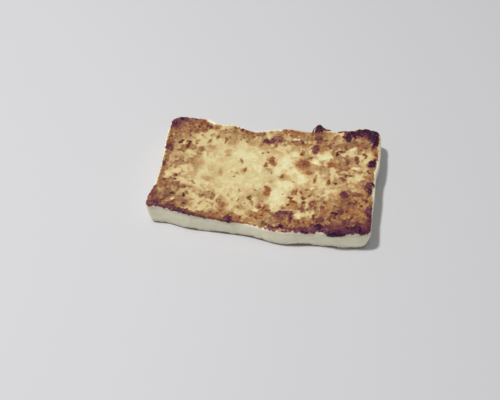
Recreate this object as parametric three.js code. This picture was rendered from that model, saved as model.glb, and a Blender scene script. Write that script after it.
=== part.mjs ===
import * as THREE from 'three';
import { ImprovedNoise } from 'three/addons/math/ImprovedNoise.js';
import { mergeVertices } from 'three/addons/utils/BufferGeometryUtils.js';

// One thick slab of halloumi, cut from a block with a knife and fried on its flat faces.
// Millimetres, +Z up. X runs along the slab, Y across it, and the underside lies on z = 0.

// The four knife cuts, measured from the middle of the slab
const LEFT_CUT = -52.5;
const RIGHT_CUT = 53;
const FRONT_CUT = -29.5;
const BACK_CUT = 27.2;
const THICKNESS = 13.5;

// Rounding of the edges: the browned top edges stay crisp, the right one slumped most
const TOP_ROUND = 1.3;
const RIGHT_TOP_ROUND = 2.1;
const BASE_ROUND = 1.1;
const CORNER_ROUND = 2.3;
const WALL_BULGE = 0.4;

// Where the slab swelled (+) or shrank (-) in the pan: at is the place along an edge,
// out the distance from the cut, and spread the half width of the swell
const TOP_SWELLS = [
  { at: -46, out: 2.7, spread: 20 },
  { at: 8, out: -1.7, spread: 19 },
  { at: 54, out: 1.7, spread: 24 },
];
const FRONT_SWELLS = [
  { at: -47, out: -2.0, spread: 9 },
  { at: 12, out: 2.5, spread: 13 },
  { at: 36, out: 1.0, spread: 14 },
  { at: 56, out: -1.3, spread: 6 },
];
const BACK_SWELLS = [
  { at: -54, out: -1.3, spread: 4 },
  { at: -33.5, out: 1.4, spread: 3.5 },
  { at: -27, out: -0.9, spread: 4 },
  { at: -21, out: 0.6, spread: 6 },
  { at: -11, out: -1.7, spread: 6.5 },
  { at: 9, out: 2.5, spread: 9 },
  { at: 45, out: 3.4, spread: 15 },
  { at: 56, out: 1.0, spread: 5 },
];
const LEFT_SWELLS = [
  { at: -26, out: 1.8, spread: 8 },
  { at: 16, out: 0.9, spread: 10 },
];
const RIGHT_SWELLS = [
  { at: -28, out: -1.5, spread: 14 },
  { at: 7, out: 0.7, spread: 5 },
  { at: 19, out: 2.6, spread: 14 },
];

// Crags and blisters of the crust: x and y are the middle, long and wide the half sizes,
// turn the angle of the long side, rise the height, and hang the reach down the wall
const CRAGS = [
  { x: 24.0, y: 28.6, long: 2.9, wide: 3.2, turn: 0, rise: 5.2, hang: 5 },
  { x: 28.9, y: 29.6, long: 2.4, wide: 2.1, turn: 0, rise: 3.0, hang: 3 },
  { x: 23.7, y: 20.2, long: 3.8, wide: 2.0, turn: 85, rise: 0.5, hang: 2 },
  { x: 40.2, y: 25.8, long: 4.5, wide: 2.6, turn: -10, rise: 0.6, hang: 2 },
  { x: 45.5, y: 30.0, long: 4.0, wide: 2.2, turn: 0, rise: 0.9, hang: 2.5 },
  { x: 52.0, y: 26.5, long: 3.6, wide: 2.8, turn: 70, rise: 1.0, hang: 2.5 },
  { x: 50.6, y: 9.9, long: 2.8, wide: 2.2, turn: 80, rise: 0.5, hang: 2 },
  { x: 49.3, y: -4.0, long: 3.4, wide: 2.6, turn: 80, rise: 0.6, hang: 2 },
  { x: 44.0, y: -27.8, long: 6.0, wide: 2.6, turn: 5, rise: 0.9, hang: 2.5 },
  { x: 33.0, y: -30.0, long: 4.6, wide: 2.4, turn: 0, rise: 1.1, hang: 3.6 },
  { x: 25.6, y: -28.4, long: 3.4, wide: 2.4, turn: 0, rise: 0.6, hang: 3 },
  { x: 12.0, y: -30.5, long: 6.5, wide: 1.8, turn: 0, rise: 0.5, hang: 2 },
  { x: 10.4, y: -23.0, long: 5.0, wide: 2.8, turn: 15, rise: 0.5, hang: 2 },
  { x: -13.2, y: -29.0, long: 2.2, wide: 1.5, turn: 0, rise: 0.7, hang: 2 },
  { x: -40.0, y: -26.8, long: 8.0, wide: 1.6, turn: -4, rise: 0.4, hang: 2 },
  { x: -50.0, y: -23.5, long: 4.2, wide: 3.4, turn: 60, rise: 0.6, hang: 2 },
  { x: -49.5, y: 8.0, long: 3.6, wide: 2.2, turn: 85, rise: 0.4, hang: 2 },
  { x: -48.0, y: 25.0, long: 5.5, wide: 2.4, turn: -8, rise: 0.7, hang: 2 },
  { x: -38.0, y: 26.6, long: 4.6, wide: 2.0, turn: 5, rise: 0.5, hang: 2 },
  { x: 1.2, y: 20.0, long: 5.0, wide: 2.2, turn: 15, rise: 0.5, hang: 2 },
  { x: 12.5, y: 26.6, long: 6.5, wide: 2.0, turn: -4, rise: 0.4, hang: 2 },
  { x: 18.1, y: 7.5, long: 3.8, wide: 3.2, turn: 30, rise: 0.45, hang: 2 },
  { x: 31.7, y: 7.0, long: 4.8, wide: 1.8, turn: 22, rise: 0.4, hang: 2 },
  { x: 38.8, y: 0.9, long: 3.6, wide: 1.8, turn: 18, rise: 0.4, hang: 2 },
  { x: 1.4, y: 7.1, long: 3.2, wide: 2.2, turn: 55, rise: 0.4, hang: 2 },
  { x: 1.7, y: -9.8, long: 3.0, wide: 1.8, turn: 65, rise: 0.4, hang: 2 },
];

// Small blisters strewn over the browned front right of the slab
const BLISTER_SEED = 11;
const BLISTER_COUNT = 26;
const BLISTER_FIELD = { x: [13, 50], y: [-27, -8] };
const BLISTER_SIZE = [1.3, 2.2];
const BLISTER_RISE = [0.2, 0.45];
const BLISTER_HANG = 2;

// The pale middle sank a little, and the whole surface is slightly uneven
const HOLLOW = { x: 6, y: -1, long: 34, wide: 15, turn: 8, rise: -0.6, hang: 5 };
const UNEVEN = [
  { size: 13, height: 0.35 },
  { size: 4.5, height: 0.16 },
];
const FLAT_BASE_HEIGHT = 2;

// Mesh steps: along, across and up the slab
const STEPS_X = 72;
const STEPS_Y = 40;

const noise = new ImprovedNoise();
const { clamp, degToRad, lerp, smoothstep } = THREE.MathUtils;

// Height of one swell or crag at a scaled distance from its middle
function bell(distanceSquared) {
  return Math.exp(-distanceSquared);
}

function swell(swells, at) {
  return swells.reduce((sum, one) => sum + one.out * bell(((at - one.at) / one.spread) ** 2), 0);
}

// The wall from the underside's rim up to the top's rim: a quarter round, a bulging wall
// and another quarter round. Each stop gives its height, and how far in from the cut it is
function wallProfile(height, topRound) {
  const half = Math.SQRT1_2;
  const lip = height - topRound;
  return [
    { z: 0, inset: BASE_ROUND },
    { z: BASE_ROUND * (1 - half), inset: BASE_ROUND * (1 - half) },
    { z: BASE_ROUND, inset: 0 },
    { z: height * 0.45, inset: -WALL_BULGE },
    { z: height * 0.74, inset: -WALL_BULGE * 0.6 },
    { z: lip, inset: 0 },
    { z: lip + topRound * half, inset: topRound * (1 - half) },
    { z: height, inset: topRound },
  ];
}

const WALL_STEPS = wallProfile(THICKNESS, TOP_ROUND).length - 1;

// Rounds one corner of the outline: a square corner region becomes a quarter disc
function roundCorner(offset, other) {
  return offset * Math.sqrt(1 - (other * other) / 2);
}

// Place in plan for u and v from -1 to 1, with every side drawn in by inset
function plan(u, v, inset) {
  const alongGuess = lerp(LEFT_CUT, RIGHT_CUT, (u + 1) / 2);
  const acrossGuess = lerp(FRONT_CUT, BACK_CUT, (v + 1) / 2);
  const left = LEFT_CUT - swell(LEFT_SWELLS, acrossGuess) + inset;
  const right = RIGHT_CUT + swell(RIGHT_SWELLS, acrossGuess) - inset;
  const front = FRONT_CUT - swell(FRONT_SWELLS, alongGuess) + inset;
  const back = BACK_CUT + swell(BACK_SWELLS, alongGuess) - inset;
  const middleX = (left + right) / 2;
  const middleY = (front + back) / 2;
  const radius = CORNER_ROUND - inset;
  const innerX = (right - left) / 2 - radius;
  const innerY = (back - front) / 2 - radius;
  const pastX = Math.max(0, (Math.abs(u) * (right - left)) / 2 - innerX) / radius;
  const pastY = Math.max(0, (Math.abs(v) * (back - front)) / 2 - innerY) / radius;
  const halfX = pastX > 0 ? innerX + radius * roundCorner(pastX, pastY) : (Math.abs(u) * (right - left)) / 2;
  const halfY = pastY > 0 ? innerY + radius * roundCorner(pastY, pastX) : (Math.abs(v) * (back - front)) / 2;
  return { x: middleX + Math.sign(u) * halfX, y: middleY + Math.sign(v) * halfY };
}

// The underside is flat, so it keeps only every second line of the grid inside its rim
function coarse(step, steps) {
  const onRim = step === 0 || step === steps;
  return onRim ? step : clamp(2 * Math.round(step / 2), 2, steps - 2);
}

// Smooth slab: a box of grid cells whose points move onto the swollen, rounded form
function smoothSlab() {
  const box = new THREE.BoxGeometry(2, 2, 2, STEPS_X, STEPS_Y, WALL_STEPS);
  box.deleteAttribute('normal');
  box.deleteAttribute('uv');
  const points = box.getAttribute('position');
  for (let i = 0; i < points.count; i += 1) {
    let stepX = Math.round(((points.getX(i) + 1) / 2) * STEPS_X);
    let stepY = Math.round(((points.getY(i) + 1) / 2) * STEPS_Y);
    const level = Math.round(((points.getZ(i) + 1) / 2) * WALL_STEPS);
    const onWall = stepX === 0 || stepX === STEPS_X || stepY === 0 || stepY === STEPS_Y;
    if (level === 0 && !onWall) {
      stepX = coarse(stepX, STEPS_X);
      stepY = coarse(stepY, STEPS_Y);
    }
    const u = (2 * stepX) / STEPS_X - 1;
    const v = (2 * stepY) / STEPS_Y - 1;
    const along = lerp(LEFT_CUT, RIGHT_CUT, (u + 1) / 2);
    const height = THICKNESS + swell(TOP_SWELLS, along);
    const topRound = lerp(TOP_ROUND, RIGHT_TOP_ROUND, smoothstep(u, 0.9, 1));
    const stop = wallProfile(height, topRound)[level];
    const place = plan(u, v, stop.inset);
    points.setXYZ(i, place.x, place.y, stop.z);
  }
  return withoutEmptyTriangles(mergeVertices(box, 1e-3));
}

function withoutEmptyTriangles(geometry) {
  const corners = geometry.getIndex().array;
  const kept = [];
  for (let i = 0; i < corners.length; i += 3) {
    const [a, b, c] = corners.slice(i, i + 3);
    if (a !== b && b !== c && c !== a) kept.push(a, b, c);
  }
  geometry.setIndex(kept);
  return geometry;
}

function strewnBlisters() {
  THREE.MathUtils.seededRandom(BLISTER_SEED);
  const draw = ([low, high]) => lerp(low, high, THREE.MathUtils.seededRandom());
  return Array.from({ length: BLISTER_COUNT }, () => ({
    x: draw(BLISTER_FIELD.x),
    y: draw(BLISTER_FIELD.y),
    long: draw(BLISTER_SIZE),
    wide: draw(BLISTER_SIZE),
    turn: draw([0, 180]),
    rise: draw(BLISTER_RISE),
    hang: BLISTER_HANG,
  }));
}

// How far one crag lifts the surface at a point that lies below the top by depth
function lift(crag, x, y, depth) {
  const turn = degToRad(crag.turn);
  const dx = x - crag.x;
  const dy = y - crag.y;
  const along = (dx * Math.cos(turn) + dy * Math.sin(turn)) / crag.long;
  const across = (dy * Math.cos(turn) - dx * Math.sin(turn)) / crag.wide;
  return crag.rise * bell(along ** 2 + across ** 2 + (depth / crag.hang) ** 2);
}

// Pushes the smooth slab's surface out along its normals, and leaves the underside flat
function crust(geometry) {
  const crags = [HOLLOW, ...CRAGS, ...strewnBlisters()];
  geometry.computeVertexNormals();
  const points = geometry.getAttribute('position');
  const normals = geometry.getAttribute('normal');
  const point = new THREE.Vector3();
  const normal = new THREE.Vector3();
  for (let i = 0; i < points.count; i += 1) {
    point.fromBufferAttribute(points, i);
    normal.fromBufferAttribute(normals, i);
    const depth = THICKNESS + swell(TOP_SWELLS, point.x) - point.z;
    let rise = crags.reduce((sum, crag) => sum + lift(crag, point.x, point.y, depth), 0);
    for (const wave of UNEVEN) {
      rise += wave.height * noise.noise(point.x / wave.size, point.y / wave.size, point.z / wave.size);
    }
    rise *= smoothstep(point.z, 0, FLAT_BASE_HEIGHT);
    point.addScaledVector(normal, rise);
    points.setXYZ(i, point.x, point.y, point.z);
  }
  geometry.computeVertexNormals();
  return geometry;
}

// Puts the middle of the slab's footprint on the origin
function centred(geometry) {
  geometry.computeBoundingBox();
  const middle = geometry.boundingBox.getCenter(new THREE.Vector3());
  geometry.translate(-middle.x, -middle.y, 0);
  return geometry;
}

const friedCheese = new THREE.MeshStandardMaterial({
  color: 0xd9bf86,
  roughness: 0.55,
  metalness: 0,
});

const slab = new THREE.Mesh(centred(crust(smoothSlab())), friedCheese);
slab.name = 'halloumi_slab';

const group = new THREE.Group();
group.add(slab);

export default group;
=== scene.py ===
import math

import bmesh
import bpy
import numpy as np
from mathutils import Matrix, Vector, kdtree, noise


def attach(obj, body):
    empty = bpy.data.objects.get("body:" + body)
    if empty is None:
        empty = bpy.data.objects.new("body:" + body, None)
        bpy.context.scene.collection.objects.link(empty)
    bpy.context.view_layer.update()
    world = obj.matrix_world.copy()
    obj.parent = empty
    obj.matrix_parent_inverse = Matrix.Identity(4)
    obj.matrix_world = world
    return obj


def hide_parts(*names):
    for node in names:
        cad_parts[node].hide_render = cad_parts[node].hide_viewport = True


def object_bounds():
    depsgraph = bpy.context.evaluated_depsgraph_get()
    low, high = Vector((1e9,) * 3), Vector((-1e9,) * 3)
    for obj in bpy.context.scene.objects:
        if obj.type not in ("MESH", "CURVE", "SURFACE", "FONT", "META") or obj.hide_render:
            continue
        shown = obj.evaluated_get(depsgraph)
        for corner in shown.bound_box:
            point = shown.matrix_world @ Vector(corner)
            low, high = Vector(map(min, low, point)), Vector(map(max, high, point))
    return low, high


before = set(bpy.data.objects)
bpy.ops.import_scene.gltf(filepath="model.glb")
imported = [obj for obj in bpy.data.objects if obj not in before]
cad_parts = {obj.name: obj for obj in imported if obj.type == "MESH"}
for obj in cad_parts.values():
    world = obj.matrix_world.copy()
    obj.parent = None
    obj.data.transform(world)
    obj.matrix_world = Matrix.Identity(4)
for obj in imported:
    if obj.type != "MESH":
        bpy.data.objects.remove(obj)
cad_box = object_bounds()

# The slab: one piece of halloumi, a dense white cheese, cut from a block with a knife and fried
# on both flat faces in a dry pan. The shown face has a crust of golden blisters, red-brown patches
# and charred crags, and the cut walls stay pale. Places are in millimetres from the slab's middle
MM = 0.001
CUTS_PER_EDGE = 3
# Each round of smoothing draws a point in towards its neighbours and then lets it out again
SMOOTHING_ROUNDS = 8
SMOOTHING_STEPS = (0.6, -0.62)

# Each patch of crust: x, y, half length, half width, and the turn of its long side in degrees
CHAR = [
    (40.4, 27.0, 3.0, 2.2, -20), (38.1, 24.0, 1.5, 1.8, 20), (43.9, 28.2, 2.8, 2.2, 10),
    (46.9, 29.4, 3.2, 1.7, -5), (50.7, 28.2, 2.6, 2.6, 0), (51.5, 23.6, 2.0, 3.4, 0),
    (49.1, 25.0, 1.3, 2.4, 0), (50.4, 10.0, 1.8, 3.1, -27), (50.7, -2.0, 0.8, 1.6, 0),
    (49.1, -6.4, 1.2, 1.8, -10), (43.1, -27.4, 4.0, 1.8, 0), (33.3, -31.0, 3.4, 1.3, 0),
    (36.6, -30.8, 2.4, 0.8, 8), (21.4, -30.0, 1.1, 0.8, 0), (27.1, -27.4, 2.2, 1.6, 0),
    (9.4, -28.4, 1.4, 1.1, 0), (-14.0, -28.6, 0.9, 1.2, 0), (33.5, -20.2, 1.2, 1.0, 0),
    (-49.9, -24.9, 1.3, 0.9, 15), (-45.2, 12.1, 1.9, 0.9, 38), (34.1, 28.8, 2.2, 0.4, 15),
    (22.3, 28.6, 2.4, 2.0, 10), (20.8, 29.2, 1.4, 1.0, 20), (-50.3, 23.2, 0.9, 1.2, 0),
    (-47.6, 25.3, 0.8, 0.7, 0), (23.2, 28.2, 2.2, 1.5, 0),
]
MAROON = [
    (-50.3, 22.9, 3.0, 3.9, 0), (-47.2, 25.9, 4.8, 1.9, 8), (-41.4, 26.8, 2.6, 0.9, 0),
    (-50.9, 7.8, 1.9, 3.2, 0), (-51.5, -2.2, 0.8, 1.9, 0), (-40.4, 11.4, 0.9, 0.9, 0),
    (-49.4, -24.5, 3.2, 1.8, 0), (-43.4, -26.1, 4.5, 1.1, -3), (-36.7, -26.9, 3.0, 1.1, -3),
    (-14.9, -27.4, 2.6, 1.3, 0), (-2.0, 19.5, 2.5, 1.7, 8), (0.8, 20.2, 1.2, 1.2, 30),
    (0.4, 19.8, 1.2, 1.0, 0), (23.7, 23.3, 2.2, 2.0, 0), (22.7, 17.3, 2.1, 2.5, 0),
    (15.5, 21.3, 1.0, 1.1, 0), (33.7, 13.9, 0.9, 1.2, 0), (34.8, 16.0, 2.0, 0.7, 22),
    (48.7, -3.4, 2.0, 2.2, 0), (37.9, -9.1, 2.1, 2.2, 0), (47.7, -11.6, 1.0, 0.8, 0),
    (36.1, -18.7, 1.8, 1.3, 0), (48.5, -18.2, 0.8, 3.6, 0), (48.3, -24.7, 1.4, 2.6, 0),
    (45.1, -24.8, 3.0, 1.6, -8), (24.4, -22.5, 0.8, 1.4, 0), (27.8, -23.4, 1.6, 2.0, 0),
    (20.1, -28.6, 3.4, 1.4, 0), (24.9, -27.8, 2.6, 1.9, 0), (31.1, -27.8, 3.2, 2.0, 0),
    (37.1, -27.2, 3.2, 1.9, 0), (47.7, -27.0, 1.8, 1.6, 0), (24.8, -30.5, 0.8, 0.9, 0),
    (4.7, -29.2, 1.6, 1.1, 0), (7.3, -29.2, 2.0, 0.9, 0), (12.6, -29.2, 2.6, 1.0, 0),
    (16.7, -29.1, 2.2, 0.9, 0), (10.1, -21.1, 3.4, 1.6, 0), (7.4, -23.0, 1.6, 1.0, 20),
    (13.4, -22.2, 1.4, 2.4, 0), (-32.4, 23.8, 2.0, 1.4, -20), (41.3, 27.6, 5.0, 2.3, -5),
    (45.8, 27.6, 3.6, 2.6, 0), (38.2, 25.0, 1.9, 2.6, 10), (50.2, 27.0, 2.6, 3.8, 0),
    (51.4, 21.8, 1.8, 3.0, 0), (23.0, 27.3, 1.8, 1.4, 0), (24.0, 30.2, 3.4, 2.2, 0),
    (27.6, 30.0, 2.8, 1.3, -8),
]
PLUM = [
    (-47.4, -13.2, 3.6, 1.7, -18), (-46.2, -19.5, 3.0, 3.2, 0), (-38.2, -22.0, 3.2, 1.8, -25),
    (-42.2, -24.6, 3.0, 1.0, 0), (2.4, 21.5, 2.8, 2.3, 20), (-34.0, 9.0, 1.6, 1.4, 0),
    (37.3, 12.5, 1.8, 1.2, 0),
]
RUSSET = [
    (17.5, 8.2, 1.5, 1.2, 0), (3.4, 23.4, 1.8, 0.6, 5), (4.8, 21.6, 0.5, 1.2, 0),
    (42.9, 12.2, 1.0, 1.9, 0), (43.8, 10.0, 1.1, 0.8, 0), (46.9, 14.9, 1.3, 0.9, -25),
    (45.0, 21.5, 1.0, 0.8, 0), (41.3, 21.9, 1.0, 1.2, 0), (28.6, 18.8, 1.9, 0.8, -30),
    (38.1, 1.8, 1.0, 1.0, 0), (40.2, 1.3, 1.1, 0.7, -20), (36.5, -0.3, 1.8, 0.8, -15),
    (41.9, 5.0, 0.8, 0.7, 0), (48.7, 4.5, 0.8, 0.9, 0), (21.7, -10.5, 1.0, 0.8, 0),
    (18.6, -14.8, 1.5, 1.2, 0), (23.7, -14.0, 1.1, 0.9, 0), (22.7, -15.6, 1.1, 0.8, 0),
    (43.4, -8.6, 2.2, 1.3, 0), (20.4, 11.6, 1.6, 0.8, 20), (38.8, 10.4, 1.1, 1.8, 0),
    (37.3, 18.5, 0.7, 1.4, 0), (49.6, -14.5, 0.6, 2.4, 0), (24.3, -16.9, 1.0, 0.8, 0),
    (27.5, -16.6, 1.3, 1.6, 0), (-51.9, -21.2, 1.7, 3.6, 0), (-50.4, -23.0, 1.4, 1.8, 0),
    (18.1, -18.4, 1.4, 1.2, 0),
]
BROWN = [
    (-35.4, 21.0, 2.2, 1.6, 0), (-36.9, 25.1, 2.2, 1.8, 0), (-51.8, 18.3, 1.0, 4.2, 0),
    (-51.4, 13.0, 1.1, 2.8, 0), (-39.9, 19.1, 2.4, 0.9, 0), (-41.5, 9.6, 1.0, 1.5, 0),
    (-50.7, -6.2, 1.3, 5.0, 0), (-52.3, -19.0, 1.3, 1.5, 0), (-52.4, -26.0, 1.4, 1.8, 0),
    (-40.9, -22.0, 1.8, 1.0, -30), (-32.4, -27.5, 3.0, 1.3, 0), (-27.9, -26.8, 3.0, 1.3, 0),
    (-22.9, -26.6, 4.0, 1.5, 0), (-18.9, -27.4, 2.2, 1.2, 0), (-10.7, -27.0, 2.6, 1.1, -8),
    (1.4, 8.6, 1.9, 2.5, 0), (-1.2, 5.6, 1.4, 1.3, 0), (2.3, 6.8, 1.2, 1.3, 0),
    (1.3, -8.5, 1.9, 2.1, 0), (0.6, -11.1, 1.6, 1.6, 0), (10.6, 27.0, 5.8, 1.5, -6),
    (6.3, 28.3, 1.2, 0.8, 0), (14.7, 26.4, 1.8, 1.3, 0), (14.3, 20.4, 4.0, 0.9, 0),
    (17.3, 7.8, 3.6, 2.5, -15), (17.7, 10.4, 1.2, 1.0, 0), (19.7, 2.7, 2.8, 1.5, 8),
    (37.3, 27.8, 2.0, 2.4, 0), (43.3, 20.2, 1.6, 0.6, 0), (51.9, 16.8, 1.2, 3.8, 0),
    (32.3, 25.4, 1.3, 0.5, 60), (31.3, 22.8, 2.0, 0.5, 68), (30.9, 7.8, 2.6, 1.8, 20),
    (29.3, 9.0, 1.0, 0.7, 0), (46.9, -4.8, 1.0, 2.0, 0), (38.5, -12.2, 2.6, 1.4, 0),
    (44.1, -13.2, 2.8, 0.6, -35), (38.3, -16.6, 2.0, 1.0, 0), (41.1, -19.0, 3.2, 0.8, 0),
    (29.1, -19.1, 0.9, 1.2, 0), (14.0, -8.4, 1.3, 2.0, 0), (18.4, -11.9, 1.2, 1.0, 0),
    (24.2, -17.2, 1.0, 0.8, 0), (14.3, -14.4, 1.9, 1.0, -15), (0.6, -20.4, 1.2, 2.0, 0),
    (-2.5, -24.6, 1.2, 1.0, 0), (1.5, -28.2, 2.6, 1.0, 0), (12.3, -12.4, 1.4, 0.9, -15),
    (12.2, -15.9, 0.9, 0.9, 0), (17.4, -8.9, 1.5, 0.8, -25), (0.8, -19.6, 1.1, 2.0, 0),
    (20.6, -6.4, 1.6, 0.6, -20), (2.2, 18.2, 0.7, 1.2, -10), (-50.2, -13.2, 1.4, 3.0, 12),
    (-47.6, -13.4, 2.4, 1.3, -20), (16.2, 14.6, 1.2, 1.9, 0),
]
GOLD = [
    (-42.9, 22.8, 6.5, 3.6, 0), (-35.9, 23.8, 4.0, 3.4, 0), (-29.4, 24.2, 2.2, 1.8, -10),
    (-44.9, 18.8, 4.5, 2.8, 0), (-46.9, 14.3, 3.2, 2.2, 0), (-19.1, -21.3, 2.3, 4.6, 8),
    (-14.9, -25.5, 6.0, 1.6, 0), (-2.9, -23.7, 4.5, 3.4, 0), (1.1, -21.7, 2.2, 4.0, 0),
    (-5.9, -27.0, 4.0, 1.4, 0), (11.1, -24.7, 7.0, 3.4, 0), (14.1, -16.7, 3.4, 2.4, 0),
    (30.1, -17.2, 4.0, 4.0, 0), (38.1, -14.2, 6.0, 7.0, 0), (42.1, -20.2, 9.0, 5.0, 0),
    (30.1, -24.2, 8.0, 3.0, 0), (20.1, -25.2, 5.0, 2.4, 0), (46.6, -10.2, 3.5, 5.0, 0),
    (-12.9, 22.3, 4.0, 2.4, 0), (-4.9, 16.8, 1.4, 2.6, 0), (17.6, 19.2, 2.6, 1.2, 0),
    (21.1, 24.8, 3.0, 3.4, 0), (24.6, 18.8, 4.0, 4.0, 0), (45.1, 20.3, 4.0, 2.0, 0),
    (36.3, 6.8, 4.4, 1.5, 5), (33.1, 8.3, 4.0, 2.0, 15), (32.1, 13.0, 1.3, 1.0, 0),
    (17.6, 7.8, 4.4, 3.6, 0), (51.1, 3.8, 1.6, 8.0, 0), (48.1, 2.1, 2.0, 1.4, 0),
    (45.7, -1.2, 2.2, 1.0, 0), (43.7, -3.1, 1.2, 1.3, 0), (29.6, -1.8, 1.2, 2.8, 0),
    (23.3, -0.8, 1.0, 1.9, 0), (7.2, -0.1, 1.5, 2.2, 0), (27.3, 27.3, 2.6, 1.3, 0),
    (-44.2, -8.6, 2.2, 1.1, -10),
]
TAN = [
    (-28.4, -7.5, 3.4, 1.5, 0), (-22.9, -2.7, 1.2, 2.4, 0), (0.4, 2.8, 3.2, 1.2, 0),
    (2.3, -3.2, 1.6, 1.3, 0), (-1.4, -13.7, 1.8, 3.6, 0), (-8.9, 17.8, 4.4, 2.2, 0),
    (-27.5, -16.5, 2.8, 1.7, 0), (-35.0, -22.4, 2.0, 2.4, 0), (-35.9, -14.0, 3.8, 1.6, 0),
    (8.6, -1.2, 3.6, 1.6, 0), (20.1, -8.2, 5.0, 4.0, 0), (31.6, -5.6, 2.2, 0.9, 0),
    (28.1, 4.8, 2.0, 2.4, 0), (40.1, 7.8, 6.0, 4.0, 0), (38.1, -4.7, 6.0, 1.2, 0),
    (24.1, -14.6, 3.0, 3.6, 0), (47.1, 18.6, 3.0, 2.4, 0), (36.1, 20.6, 3.6, 3.6, 0),
    (11.6, 17.8, 1.8, 1.6, 0), (-19.9, 17.8, 4.0, 5.0, 0), (-14.9, -2.2, 1.4, 0.9, 0),
    (-19.9, 22.8, 3.6, 2.4, 0), (-6.7, -14.8, 1.4, 1.9, 0), (-29.7, 11.0, 3.0, 1.6, 20),
    (-35.7, 8.0, 2.6, 1.8, 10), (-45.2, 2.8, 4.6, 2.4, 0), (-47.9, 7.0, 2.6, 4.5, 0),
    (-35.4, 0.8, 4.0, 3.6, 0), (-45.9, -17.2, 5.5, 5.5, 0), (-38.9, -21.2, 6.0, 4.5, -20),
    (-47.9, -2.7, 3.0, 3.2, 0), (-30.9, 14.6, 0.9, 2.2, -10), (-27.1, 17.3, 0.8, 1.6, 0),
    (-23.1, 17.0, 0.9, 2.0, 0), (-12.2, 19.5, 3.4, 1.4, 0), (30.1, 22.3, 4.5, 4.0, 0),
    (44.1, 23.8, 4.0, 3.4, 0), (-41.5, 15.2, 3.6, 2.4, 20), (-10.0, -20.5, 2.6, 2.0, 0),
    (4.1, 24.3, 5.0, 2.0, 0), (-20.5, 9.0, 2.2, 3.0, 0), (38.0, -3.0, 3.0, 1.2, 0),
    (32.0, -9.5, 2.0, 1.6, 0), (-13.7, 5.8, 1.4, 1.8, 0), (-11.9, 0.2, 1.9, 2.1, 0),
]
# Burnt specks, and the faint olive streaks, which are pressed in only part as deep
SPECKS = [
    (-1.3, 13.4, 0.6, 0.5, 0), (-3.9, 12.0, 0.3, 0.5, 0), (-37.6, -18.6, 0.7, 0.8, 0),
    (-43.2, -18.8, 1.2, 0.6, 0), (-26.3, -29.1, 0.5, 0.4, 0), (-11.9, -17.0, 0.4, 0.4, 0),
    (-6.2, -15.8, 0.5, 0.3, 0), (-6.9, -14.1, 0.3, 0.4, 0), (-44.0, -10.6, 0.5, 0.4, 0),
    (-14.6, 19.4, 0.6, 0.4, 20), (2.2, 1.7, 0.3, 0.6, 0), (13.9, -23.6, 0.6, 0.7, 0),
    (0.1, -23.0, 0.4, 0.4, 0), (-2.6, -24.9, 0.5, 0.3, 0), (50.1, -19.8, 0.7, 0.4, 0),
    (32.9, -2.4, 0.4, 0.4, 0), (12.7, 27.9, 0.5, 0.4, 0), (11.0, 20.8, 0.6, 0.4, 0),
    (33.6, 13.9, 0.7, 0.9, 0), (6.0, 28.9, 1.0, 0.4, -10),
]
STREAKS = [
    (-30.9, 14.5, 0.5, 1.6, -8), (-23.3, 16.6, 0.6, 1.8, 0), (-34.9, -10.6, 1.6, 0.5, -40),
    (-30.0, -18.0, 0.8, 0.9, 0), (-36.4, -13.7, 1.3, 0.5, 0), (-41.5, -12.0, 0.7, 0.5, 0),
    (-45.1, -15.8, 0.8, 0.4, -20), (-27.1, 17.5, 0.6, 1.5, 0), (-37.5, 12.1, 0.7, 0.6, 0),
    (-40.9, 9.9, 0.9, 1.3, 0), (-15.9, 18.6, 0.5, 0.5, 0), (-11.7, 19.0, 0.4, 0.9, 0),
    (-12.6, 17.7, 0.9, 0.5, 0), (-17.9, 18.4, 0.5, 0.5, 0), (-24.1, 20.6, 0.4, 0.4, 0),
    (-12.2, -11.2, 0.5, 1.3, 30), (-5.1, -9.9, 0.6, 0.4, 0), (-17.3, -1.5, 0.6, 0.4, 0),
    (-16.2, -3.7, 0.5, 0.4, 0), (4.8, 15.7, 0.4, 0.4, 0), (-8.8, -17.9, 0.5, 0.4, 0),
    (0.1, -19.2, 0.5, 1.0, 0), (14.1, -21.5, 0.6, 0.6, 0), (13.2, -2.3, 0.9, 0.6, -25),
    (20.4, -6.6, 1.4, 0.6, -25), (17.7, -9.0, 0.9, 0.5, -25), (12.4, -12.6, 1.2, 0.8, 0),
    (13.7, -14.2, 1.6, 0.7, -15), (12.1, -16.2, 0.8, 0.7, 0), (18.3, -11.9, 0.7, 0.7, 0),
    (29.0, -13.8, 0.8, 0.9, 0), (26.2, -10.7, 0.8, 0.9, 0), (22.1, -19.6, 0.4, 1.0, 0),
    (21.9, -21.9, 0.3, 0.8, 0), (47.1, 19.0, 1.0, 0.6, 0), (-21.9, -18.5, 0.5, 1.3, 0),
    (-26.5, -20.2, 0.5, 0.4, 0), (-33.5, -20.2, 0.6, 0.4, 0), (-7.5, -22.5, 0.4, 0.5, 0),
    (22.9, -1.8, 0.5, 1.6, -10), (29.6, -2.0, 0.8, 1.6, 0), (8.6, -10.2, 0.5, 0.5, 0),
    (16.3, 13.7, 0.5, 0.6, 0), (7.2, -0.2, 0.8, 1.4, 0), (-13.6, 5.8, 0.6, 0.9, 0),
    (-11.6, 0.5, 0.9, 1.3, 0), (-6.6, -14.8, 1.0, 1.3, 0),
]
STREAK_DEPTH = 0.5
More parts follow.
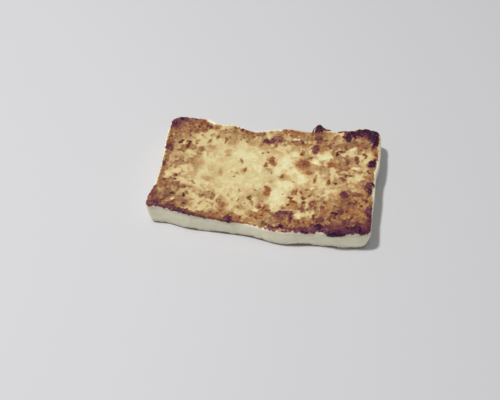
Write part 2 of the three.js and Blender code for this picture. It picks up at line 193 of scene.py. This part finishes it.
# Gaps where the cheese shows pale inside a browned field
PALE = [
    (41.6, 30.0, 1.2, 1.1, 0), (16.7, -21.7, 2.6, 1.8, 0), (-42.9, -21.4, 1.2, 0.9, 0),
    (41.6, 17.8, 2.6, 1.2, 0), (8.4, 8.2, 3.6, 4.6, -10), (6.1, -12.2, 3.2, 6.0, -10),
    (27.3, 12.5, 4.0, 1.7, 5), (42.4, 6.6, 1.8, 1.4, 0), (17.3, -1.5, 2.6, 3.4, 0),
    (-12.2, 9.0, 6.0, 3.0, 0), (12.6, 3.2, 2.4, 1.8, 0), (12.4, 13.4, 2.2, 2.0, 0),
    (-3.6, -20.6, 1.6, 1.4, 0), (21.6, -6.4, 1.6, 1.0, 0), (4.6, 3.6, 2.2, 2.6, 0),
    (8.6, -4.6, 4.2, 2.4, -10), (-4.6, 3.0, 2.4, 2.6, 0), (22.6, 9.6, 2.6, 1.6, 20),
    (12.2, 22.9, 2.4, 1.0, 0),
]
# How brown each kind of patch is, the ring from its middle to its rim where it fades out,
# and how far its colour leans to red-gold (+) or to plum (-)
PATCH_KINDS = [
    (TAN, 0.38, 0.30, 1.40, 0.2),
    (GOLD, 0.52, 0.40, 1.40, 0.7),
    (BROWN, 0.64, 0.55, 1.35, 1.0),
    (PLUM, 0.60, 0.45, 1.45, -1.0),
    (RUSSET, 0.76, 0.60, 1.30, 0.3),
    (MAROON, 0.85, 0.60, 1.30, -0.6),
    (CHAR, 1.02, 0.65, 1.25, -1.0),
]
# Broad soft fields: x, y, half length, half width, turn in degrees, and how brown
FIELDS = [
    (-54.0, 6.0, 13.0, 34.0, 0, 0.52), (-46.0, 24.0, 17.0, 8.0, 0, 0.58),
    (-40.0, 6.0, 9.0, 11.0, 0, 0.42), (-47.0, -18.0, 12.0, 9.0, 0, 0.58),
    (-27.0, -20.0, 18.0, 7.0, 0, 0.36), (-34.0, -2.0, 10.0, 9.0, 0, 0.21),
    (-14.0, 25.0, 22.0, 6.0, 0, 0.48), (6.0, 23.0, 18.0, 7.0, 0, 0.43),
    (23.0, 23.0, 8.0, 8.0, 0, 0.48), (38.0, 18.0, 16.0, 10.0, 0, 0.44),
    (17.5, 8.0, 5.5, 5.0, 0, 0.45), (36.0, 7.0, 14.0, 7.0, 0, 0.46),
    (51.0, 2.0, 6.0, 24.0, 0, 0.56), (41.5, -15.0, 10.0, 9.0, 0, 0.62),
    (24.0, -15.0, 10.0, 9.0, 0, 0.44), (34.0, -1.0, 12.0, 4.0, 0, 0.34),
    (12.0, -24.0, 15.0, 6.0, 0, 0.56), (-3.0, -20.0, 6.0, 7.0, 0, 0.39),
    (36.0, -25.0, 18.0, 6.0, 0, 0.72), (-1.0, 6.0, 6.0, 7.0, 0, 0.17),
    (-1.0, -11.0, 5.0, 5.0, 0, 0.26),
]
# How brown the cheese is between the marks, and in the pale gaps
CREAM_LEVEL = 0.11
PALE_LEVEL = 0.04
# How strongly painted shade darkens the walls under the hem, and how strongly crust and painted shade darken
# them above the dark line along the base
HEM_SHADE = 0.30
BASE_CRUST_AND_SHADE = 0.28
# The big crag on the back edge, which is crust down its steep sides too
CRAG_X, CRAG_Y = 25.0, 30.4
CRAG_HALF_LONG, CRAG_HALF_WIDE = 5.6, 3.0
# Small granules strewn over the browned fields: half sizes, and how much darker they are
GRANULE_SEED = 5
GRANULE_COUNT = 300
GRANULE_SIZE = (0.4, 0.95)
GRANULE_DARKER = (0.08, 0.25)
# The hem, where the crust turns over the front edge: x, how brown, its width and its hang
HEM = [
    (-54, 0.80, 2.6, 0.2), (-49, 0.92, 2.4, 0.3), (-43, 0.95, 2.2, 0.3), (-36, 0.94, 2.4, 0.4),
    (-28, 0.84, 2.3, 0.6), (-21, 0.76, 2.0, 0.6), (-15, 0.86, 2.0, 1.3), (-12, 0.76, 2.0, 0.3),
    (-7, 0.71, 1.9, -0.2), (0, 0.68, 1.8, -0.6), (4, 0.84, 1.5, -0.3), (9, 0.92, 1.8, -0.6),
    (12, 0.84, 1.7, -0.7), (17, 0.86, 2.4, -0.6), (20, 0.88, 3.2, 0.1), (21, 0.88, 3.4, 0.9),
    (23, 0.88, 3.8, 0.2), (25, 0.88, 4.0, 1.0), (26, 0.90, 4.2, -0.2), (29, 0.90, 4.0, -0.1),
    (31, 0.90, 4.0, 1.6), (34, 0.92, 4.2, 2.2), (37, 0.94, 4.2, 2.0), (38.5, 0.92, 4.4, 1.7),
    (39.5, 0.92, 4.4, 0.4), (44, 0.95, 4.8, 0.6), (49, 0.90, 4.4, 0.6), (54, 0.60, 2.0, -0.8),
]
# Where along the front edge the hem leans to plum, and where to red-gold
HEM_LEAN_X = (-38, -31, 0, 4)
HEM_LEAN = (-0.7, 0.1, 0.1, -0.9)


def ease(start, end, value):
    """Smooth step from 0 at start to 1 at end, where start may be the higher of the two."""
    t = np.clip((value - start) / (end - start), 0, 1)
    return t * t * (3 - 2 * t)


def wobble(points, size, seed):
    """Smooth noise of about -1 to 1 at each point, with lumps of the given size in millimetres."""
    shift = Vector((seed * 7.1, seed * 3.7, seed * 5.3))
    return np.array([2 * noise.noise(Vector(p) / size + shift) for p in points])


def reach(patch, x, y):
    """Distance from a patch's middle, where 1 is its rim."""
    at_x, at_y, half_long, half_wide, turn = patch[:5]
    c, s = math.cos(math.radians(turn)), math.sin(math.radians(turn))
    along = ((x - at_x) * c + (y - at_y) * s) / half_long
    across = ((y - at_y) * c - (x - at_x) * s) / half_wide
    return np.hypot(along, across)


def cover(patches, inner, outer, raggedness=1):
    """How deep each point lies in any of the patches, from 0 past their outer ring to 1 within the inner."""
    nearest = np.min([reach(patch, warp_x, warp_y) for patch in patches], axis=0)
    return 1 - ease(inner, outer, nearest + raggedness * ragged)


# The mesh: a copy of the solid, cut finer and smoothed
slab_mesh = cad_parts["halloumi_slab"].data.copy()
slab_mesh.name = "fried_slab"
bm = bmesh.new()
bm.from_mesh(slab_mesh)
bmesh.ops.remove_doubles(bm, verts=bm.verts, dist=0.01 * MM)
bmesh.ops.subdivide_edges(bm, edges=bm.edges[:], cuts=CUTS_PER_EDGE, use_grid_fill=True)
place = np.array([v.co[:] for v in bm.verts]) / MM
ends = np.array([[v.index for v in edge.verts] for edge in bm.edges])
neighbours = np.bincount(ends.ravel(), minlength=len(place))[:, None]
for amount in SMOOTHING_STEPS * SMOOTHING_ROUNDS:
    total = np.zeros_like(place)
    np.add.at(total, ends[:, 0], place[ends[:, 1]])
    np.add.at(total, ends[:, 1], place[ends[:, 0]])
    place += amount * (total / neighbours - place)
for vert, spot in zip(bm.verts, place):
    vert.co = spot * MM
bm.normal_update()
normal = np.array([v.normal[:] for v in bm.verts])
x, y, z = place.T.copy()
facing = normal[:, 2]

# How far each point lies from the slab's outline, and below the top
outline = kdtree.KDTree(len(place))
for i in np.flatnonzero(abs(facing) < 0.3):
    outline.insert((x[i], y[i], 0), int(i))
outline.balance()
from_edge = np.array([outline.find((px, py, 0))[2] for px, py in zip(x, y)])
top_tree = kdtree.KDTree(len(place))
for i in np.flatnonzero(facing > 0.8):
    top_tree.insert((x[i], y[i], 0), int(i))
top_tree.balance()
top_z = np.array([z[top_tree.find((px, py, 0))[1]] for px, py in zip(x, y)])
below_top = np.maximum(top_z - z, 0)

# Unevenness of several sizes. Every patch is bent out of true by about WARP millimetres
WARP = 0.4
flat = np.column_stack([x, y, 0 * z])
broad = wobble(flat, 5.5, 1)
medium = wobble(flat, 2.4, 2)
small = wobble(place, 1.3, 3)
fine = wobble(place, 0.8, 4)
warp_x = x + WARP * (wobble(flat, 3.4, 5) + wobble(flat, 1.4, 6))
warp_y = y + WARP * (wobble(flat, 3.4, 7) + wobble(flat, 1.4, 8))
ragged = 0.12 * medium + 0.2 * small + 0.1 * fine

# Browning of the shown face, from 0 for the palest cheese to 1 for char. First the broad fields,
# which are blotchy where they are faint
FIELD_FADE = 0.7
roast = np.full(len(place), CREAM_LEVEL)
for field in FIELDS:
    soft = np.exp(-FIELD_FADE * reach(field, warp_x, warp_y) ** 2)
    roast = np.maximum(roast, CREAM_LEVEL + (field[5] - CREAM_LEVEL) * soft)
blotch = ease(-0.35, 0.45, 0.75 * medium + 0.45 * small + 0.35 * broad)
floor_share = 0.25 + 0.5 * ease(0.4, 0.65, roast)
roast = CREAM_LEVEL + (roast - CREAM_LEVEL) * (floor_share + 1.5 * (1 - floor_share) * blotch)
roast += 0.03 * broad + 0.02 * medium + 0.02 * small

# Then the patches, whose colours lean less at the left, except along the back edge
LEAST_LEAN = 0.4
lean = np.zeros(len(place))
for patches, level, inner, outer, hue in PATCH_KINDS:
    kind = cover(patches, inner, outer) * (level > roast)
    roast += (level - roast) * kind
    lean += (hue - lean) * kind
lean *= LEAST_LEAN + (1 - LEAST_LEAN) * np.maximum(ease(-30, -18, x), ease(17, 21, y))

# Then the granules, the pale gaps and the hem
granules = np.random.default_rng(GRANULE_SEED)
chance = ease(0.28, 0.45, roast) * ease(0.8, 0.58, roast) * ease(19, 11, from_edge)
chance *= ease(1, 3, from_edge) * (facing > 0.7)
for i in granules.choice(len(place), GRANULE_COUNT, replace=False, p=chance / chance.sum()):
    size_x, size_y = granules.uniform(*GRANULE_SIZE, 2)
    granule = (x[i], y[i], size_x, size_y, granules.uniform(0, 180))
    level = roast[i] + granules.uniform(*GRANULE_DARKER)
    roast += np.maximum(level - roast, 0) * (1 - ease(0.6, 1.3, reach(granule, x, y) + ragged))
roast += cover(PALE, 0.4, 1.4) * np.minimum(PALE_LEVEL - roast, 0)
hem_x, hem_level, hem_width, hem_hang = np.array(HEM).T
hem_reach = from_edge / np.interp(warp_x, hem_x, hem_width) + 0.6 * ragged
in_hem = (1 - ease(0.3, 1.5, hem_reach)) * (y < -15)
hem = np.interp(warp_x, hem_x, hem_level) * in_hem
lean = np.where(hem > roast, np.interp(x, HEM_LEAN_X, HEM_LEAN), lean)
roast = np.maximum(roast, hem)

# Where the crust stops, in millimetres down the wall (+) or in from the edge (-). A pale rim stays
# all round, wider in places, but char hangs over the edge, and so does the hem here and there
RIM = 0.3
CHAR_HANG = 0.9
LEFT_RIM = 0.3
BACK_RIM, BACK_RIM_CORNER = 0.8, 0.9
RIGHT_RIM, RIGHT_RIM_MIDDLE = 0.2, 0.7
charred = ease(0.72, 0.9, roast)
left_gap = LEFT_RIM * ease(-46, -50, x)
back_gap = BACK_RIM * ease(6, 3, x) + BACK_RIM_CORNER * ease(-28, -31, x)
back_gap *= ease(22, 24, y) * ease(-36, -34, x)
right_gap = RIGHT_RIM + RIGHT_RIM_MIDDLE * ease(-12, -6, y)
right_gap *= ease(46, 50, x) * ease(19, 14, y)
stop = CHAR_HANG * charred - RIM - (back_gap + right_gap + left_gap)
stop = np.where(y < -20, np.interp(warp_x, hem_x, hem_hang), stop)
past_stop = below_top - from_edge - stop + 0.4 * small + 0.3 * fine
on_top = (1 - ease(-0.5, 0.5, past_stop)) * (facing > -0.3)
crag = 1 - ease(0.85, 1.15, np.hypot((x - CRAG_X) / CRAG_HALF_LONG, (y - CRAG_Y) / CRAG_HALF_WIDE))
on_top = np.maximum(on_top, crag * ease(11, 12.5, z))

# The hidden face lay on the pan too, and browned in broad even patches
UNDER_LEVEL = 0.5
under = ease(-0.5, -0.8, facing)
pan_side = UNDER_LEVEL + 0.16 * wobble(flat, 11, 9) + 0.14 * wobble(flat, 4, 10) + 0.1 * medium
pan_side += 0.05 * small + 0.25 * ease(9, 2, from_edge)
under_rim = 1 - ease(0.4, 1.4, from_edge + 0.5 * small)

# Painted shade darkens the cut walls under the overhanging hem. At the base the lower crust turns up, and
# painted contact shade darkens it further and fades up the wall
hem_shade = 1 - ease(0, 3.5, past_stop)
hem_shade *= HEM_SHADE * ease(0.7, 0.85, np.interp(x, hem_x, hem_level)) * ease(-22, -26, y)
base_rise = z + 0.7 * broad + 0.25 * medium + 0.25 * small
base_crust_and_shade = np.maximum(1 - ease(0.9, 2.1, base_rise), BASE_CRUST_AND_SHADE * (1 - ease(1, 4.5, z)))
base_crust_and_shade *= np.maximum(1 - under, under_rim)
# One amount for the painted shade under the hem and for the base, which is partly turned-up crust and partly
# painted contact shade
wall_crust_and_shade = np.maximum(hem_shade * (1 - under), base_crust_and_shade) * (1 - on_top)
roast = np.clip(np.where(under > 0, pan_side * under * (1 - under_rim), roast * on_top), 0, 1)
cut_face = np.clip(1 - np.maximum(on_top, under), 0, 1)
speck = np.maximum(cover(SPECKS, 0.8, 1.5, 0), STREAK_DEPTH * cover(STREAKS, 0.8, 1.5, 0))
speck *= (facing > -0.2) * (1 - ease(0.8, 2, below_top))

# Relief in millimetres: blisters stand up, char is crackled, specks and streaks are pits
BLISTER_RISE = 0.2
CHAR_RISE = 0.12
CHEESE_SINK = 0.1
SPECK_PIT = 0.22
rough = ease(0.4, 0.7, roast)
rise = BLISTER_RISE * ease(0.45, 0.75, roast) + CHAR_RISE * charred * roast - CHEESE_SINK
rise += (0.03 + 0.09 * rough) * small + 0.06 * rough * fine + 0.04 * medium - SPECK_PIT * speck
rise = np.where(under > 0, -abs(rise) * 0.6, rise)
rise *= np.where(facing < -0.2, ease(0, 0.6, from_edge), 1)
place += normal * rise[:, None]
low, high = (np.array(corner) / MM for corner in cad_box)
place = np.clip(place, low, high)
for vert, spot in zip(bm.verts, place):
    vert.co = spot * MM
bm.to_mesh(slab_mesh)
bm.free()
stored_values = {"roast": roast, "lean": lean, "cut": cut_face, "wall_crust_and_shade": wall_crust_and_shade, "speck": speck}
for name, values in stored_values.items():
    layer = slab_mesh.attributes.new(name, "FLOAT", "POINT")
    layer.data.foreach_set("value", values.astype(np.float32))
slab_mesh.polygons.foreach_set("use_smooth", [True] * len(slab_mesh.polygons))

slab = bpy.data.objects.new("fried_slab", slab_mesh)
bpy.context.collection.objects.link(slab)
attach(slab, "root")
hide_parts("halloumi_slab")

# Crust colours by browning, from pale cheese to char
CRUST_STOPS = [
    (0.00, (0.82, 0.78, 0.49)),
    (0.12, (0.74, 0.61, 0.31)),
    (0.24, (0.65, 0.47, 0.23)),
    (0.37, (0.50, 0.32, 0.145)),
    (0.50, (0.38, 0.21, 0.092)),
    (0.62, (0.295, 0.13, 0.057)),
    (0.73, (0.22, 0.077, 0.042)),
    (0.84, (0.145, 0.036, 0.036)),
    (0.93, (0.075, 0.014, 0.026)),
    (1.00, (0.034, 0.005, 0.015)),
]
RED_GOLD_TINT = (1.16, 1.00, 0.80)
PLUM_TINT = (1.02, 0.88, 1.55)
PINK_TINT = (1.13, 1.00, 1.06)
OLIVE_TINT = (0.90, 1.00, 0.84)
# Colour of the painted glints, light specks in the base colour that stand in for highlights on the crust
PAINTED_GLINT_COLOUR = (0.80, 0.66, 0.55)
CUT_CHEESE = (0.95, 0.91, 0.72)
CUT_SHADE = (0.88, 0.83, 0.60)
# Brown of the lower crust turned up the walls, also used for the painted shade under the hem and along the
# base
WALL_CRUST_AND_SHADE_COLOUR = (0.20, 0.095, 0.060)
STREAK_STAIN = (0.52, 0.41, 0.26)
SPECK_COLOUR = (0.06, 0.018, 0.010)

cheese = bpy.data.materials.new("fried_halloumi")
cheese.use_nodes = True
tree = cheese.node_tree
shader = tree.nodes["Principled BSDF"]
shader.inputs["Subsurface Weight"].default_value = 0.12
shader.inputs["Subsurface Radius"].default_value = (1.0, 0.7, 0.4)
shader.inputs["Subsurface Scale"].default_value = 1.2 * MM
shader.inputs["IOR"].default_value = 1.45
shader.inputs["Specular IOR Level"].default_value = 0.15
position = tree.nodes.new("ShaderNodeTexCoord").outputs["Object"]


def stored(name):
    """The value that the mesh keeps at each point under this name."""
    node = tree.nodes.new("ShaderNodeAttribute")
    node.attribute_name = name
    return node.outputs["Fac"]


def grain(size, detail=3.0, roughness=0.55):
    """Noise with lumps of the given size in millimetres."""
    node = tree.nodes.new("ShaderNodeTexNoise")
    node.inputs["Scale"].default_value = 1 / (size * MM)
    node.inputs["Detail"].default_value = detail
    node.inputs["Roughness"].default_value = roughness
    tree.links.new(position, node.inputs["Vector"])
    return node.outputs["Fac"]


def maths(operation, first, second):
    """Two values put together, each of them a number or another node's output."""
    node = tree.nodes.new("ShaderNodeMath")
    node.operation = operation
    for socket, value in zip(node.inputs, (first, second)):
        if isinstance(value, (int, float)):
            socket.default_value = value
        else:
            tree.links.new(value, socket)
    return node.outputs["Value"]


def span(value, low, high, to_low=0.0, to_high=1.0):
    """The value eased from the range low to high into the range to_low to to_high."""
    node = tree.nodes.new("ShaderNodeMapRange")
    node.interpolation_type = "SMOOTHSTEP"
    node.inputs["From Min"].default_value = low
    node.inputs["From Max"].default_value = high
    node.inputs["To Min"].default_value = to_low
    node.inputs["To Max"].default_value = to_high
    tree.links.new(value, node.inputs["Value"])
    return node.outputs["Result"]


def blend(amount, first, second, kind="MIX"):
    """The first colour with the second laid over it by the given amount."""
    node = tree.nodes.new("ShaderNodeMix")
    node.data_type = "RGBA"
    node.blend_type = kind
    tree.links.new(amount, node.inputs["Factor"])
    for socket, value in ((node.inputs["A"], first), (node.inputs["B"], second)):
        if isinstance(value, tuple):
            socket.default_value = (*value, 1)
        else:
            tree.links.new(value, socket)
    return node.outputs["Result"]


roast_in, lean_in = stored("roast"), stored("lean")
cut_in, wall_crust_and_shade_in, speck_in = stored("cut"), stored("wall_crust_and_shade"), stored("speck")

# Browning broken up by grain, least in the cream and in the darkest crust
speckle = maths("SUBTRACT", grain(1.1), 0.5)
dust = maths("SUBTRACT", grain(0.5), 0.5)
mottled = maths("ADD", maths("MULTIPLY", speckle, 0.55), maths("MULTIPLY", dust, 0.6))
broken = maths("MULTIPLY", mottled, span(roast_in, 0.2, 0.65, 0.25, 1.0))
broken = maths("MULTIPLY", broken, span(roast_in, 0.68, 0.85, 1.0, 0.6))
faint = maths("MULTIPLY", maths("SUBTRACT", grain(2.4), 0.5), 0.18)
roast_here = maths("ADD", maths("ADD", roast_in, broken), faint)

# Crust colour, with painted glints (light specks that stand in for highlights on the fat) on the brown, then
# the cut walls, the painted shade and turned-up crust on the walls, and the specks
ramp = tree.nodes.new("ShaderNodeValToRGB")
while len(ramp.color_ramp.elements) < len(CRUST_STOPS):
    ramp.color_ramp.elements.new(0.5)
for stop, (at, colour) in zip(ramp.color_ramp.elements, CRUST_STOPS):
    stop.position = at
    stop.color = (*colour, 1)
tree.links.new(roast_here, ramp.inputs["Fac"])
tints = [
    (span(lean_in, 0.0, 1.0), RED_GOLD_TINT),
    (span(lean_in, 0.0, -1.0), PLUM_TINT),
    (span(grain(2.6), 0.48, 0.7, 0.0, 0.7), PINK_TINT),
    (span(grain(1.9), 0.48, 0.7, 0.0, 0.8), OLIVE_TINT),
]
crust = ramp.outputs["Color"]
for amount, tint in tints:
    crust = blend(amount, crust, tint, "MULTIPLY")
# Painted glints: tiny light specks mixed into the base colour of the browned crust, standing in for
# highlights
painted_glint = maths("MULTIPLY", span(grain(0.55, 1.0), 0.64, 0.73), span(roast_here, 0.35, 0.6))
crust = blend(maths("MULTIPLY", painted_glint, 0.35), crust, PAINTED_GLINT_COLOUR)
cut_colour = blend(span(grain(4.0), 0.35, 0.7), CUT_CHEESE, CUT_SHADE)
whole = blend(cut_in, crust, cut_colour)
# The walls darkened with painted shade under the hem, and with turned-up crust and painted contact shade at
# the base
whole = blend(wall_crust_and_shade_in, whole, WALL_CRUST_AND_SHADE_COLOUR)
whole = blend(span(speck_in, 0.05, 0.5), whole, STREAK_STAIN, "MULTIPLY")
whole = blend(span(speck_in, 0.5, 0.95), whole, SPECK_COLOUR)
tree.links.new(whole, shader.inputs["Base Color"])
gloss = maths("ADD", span(roast_here, 0.5, 0.95, 0.5, 0.36), maths("MULTIPLY", dust, 0.25))
tree.links.new(gloss, shader.inputs["Roughness"])

# The finest grain, which is too small for the mesh
bump = tree.nodes.new("ShaderNodeBump")
bump.inputs["Strength"].default_value = 0.6
bump.inputs["Distance"].default_value = 0.25 * MM
rough_crust = maths("MULTIPLY", maths("ADD", speckle, dust), span(roast_here, 0.25, 0.8, 0.15, 1.0))
tree.links.new(rough_crust, bump.inputs["Height"])
tree.links.new(bump.outputs["Normal"], shader.inputs["Normal"])
slab_mesh.materials.clear()
slab_mesh.materials.append(cheese)

# The floor: a wide plain sheet, pale and matt, on which the slab rests by its flat underside.
# It is no part of the slab
FLOOR_HALF_WIDTH = 3.0
FLOOR_COLOUR = (0.66, 0.655, 0.67)
bm = bmesh.new()
bmesh.ops.create_grid(bm, x_segments=1, y_segments=1, size=FLOOR_HALF_WIDTH)
floor_mesh = bpy.data.meshes.new("floor")
bm.to_mesh(floor_mesh)
bm.free()
floor = bpy.data.objects.new("floor", floor_mesh)
bpy.context.collection.objects.link(floor)
matt = bpy.data.materials.new("pale_floor")
matt.use_nodes = True
matt.node_tree.nodes["Principled BSDF"].inputs["Base Color"].default_value = (*FLOOR_COLOUR, 1)
matt.node_tree.nodes["Principled BSDF"].inputs["Roughness"].default_value = 0.7
floor_mesh.materials.append(matt)

# The light: a soft round lamp high at the left, which throws the short shadow at the right,
# and a pale room that lights every side evenly
LAMP_FROM = Vector((-0.37, -0.04, 0.92))
LAMP_DISTANCE = 1.2
LAMP_SIZE = 0.1
LAMP_WATTS = 10.0
ROOM_STRENGTH = 0.32
lamp_data = bpy.data.lights.new("lamp", "AREA")
lamp_data.shape = "DISK"
lamp_data.size = LAMP_SIZE
lamp_data.energy = LAMP_WATTS
lamp = bpy.data.objects.new("lamp", lamp_data)
lamp.location = LAMP_FROM.normalized() * LAMP_DISTANCE
lamp.rotation_euler = LAMP_FROM.to_track_quat("Z", "Y").to_euler()
bpy.context.collection.objects.link(lamp)
room = bpy.data.worlds.new("room")
room.use_nodes = True
room.node_tree.nodes["Background"].inputs["Color"].default_value = (1, 1, 1, 1)
room.node_tree.nodes["Background"].inputs["Strength"].default_value = ROOM_STRENGTH
bpy.context.scene.world = room
bpy.context.scene.view_settings.view_transform = "Standard"

# The camera: looks down on the slab from the front, from a little to the right, and is tilted
# a few degrees. Its target is the spot of the floor at the middle of the picture
VIEW_AZIMUTH, VIEW_ELEVATION, VIEW_ROLL = (math.radians(a) for a in (10.5, 59.5, -3.0))
VIEW_DISTANCE = 0.2532
VIEW_TARGET = Vector((-7.75, -8.85, 0)) * MM
back = Vector((
    math.sin(VIEW_AZIMUTH) * math.cos(VIEW_ELEVATION),
    -math.cos(VIEW_AZIMUTH) * math.cos(VIEW_ELEVATION),
    math.sin(VIEW_ELEVATION),
))
level_right = Vector((math.cos(VIEW_AZIMUTH), math.sin(VIEW_AZIMUTH), 0))
level_up = back.cross(level_right)
right = math.cos(VIEW_ROLL) * level_right + math.sin(VIEW_ROLL) * level_up
up = back.cross(right)
camera_data = bpy.data.cameras.new("camera")
camera_data.sensor_width = 36.0
camera_data.lens = 36.0
camera_data.clip_start = 0.01
camera = bpy.data.objects.new("camera", camera_data)
camera.matrix_world = (
    Matrix.Translation(VIEW_TARGET + back * VIEW_DISTANCE) @ Matrix((right, up, back)).transposed().to_4x4()
)
bpy.context.collection.objects.link(camera)
bpy.context.scene.camera = camera
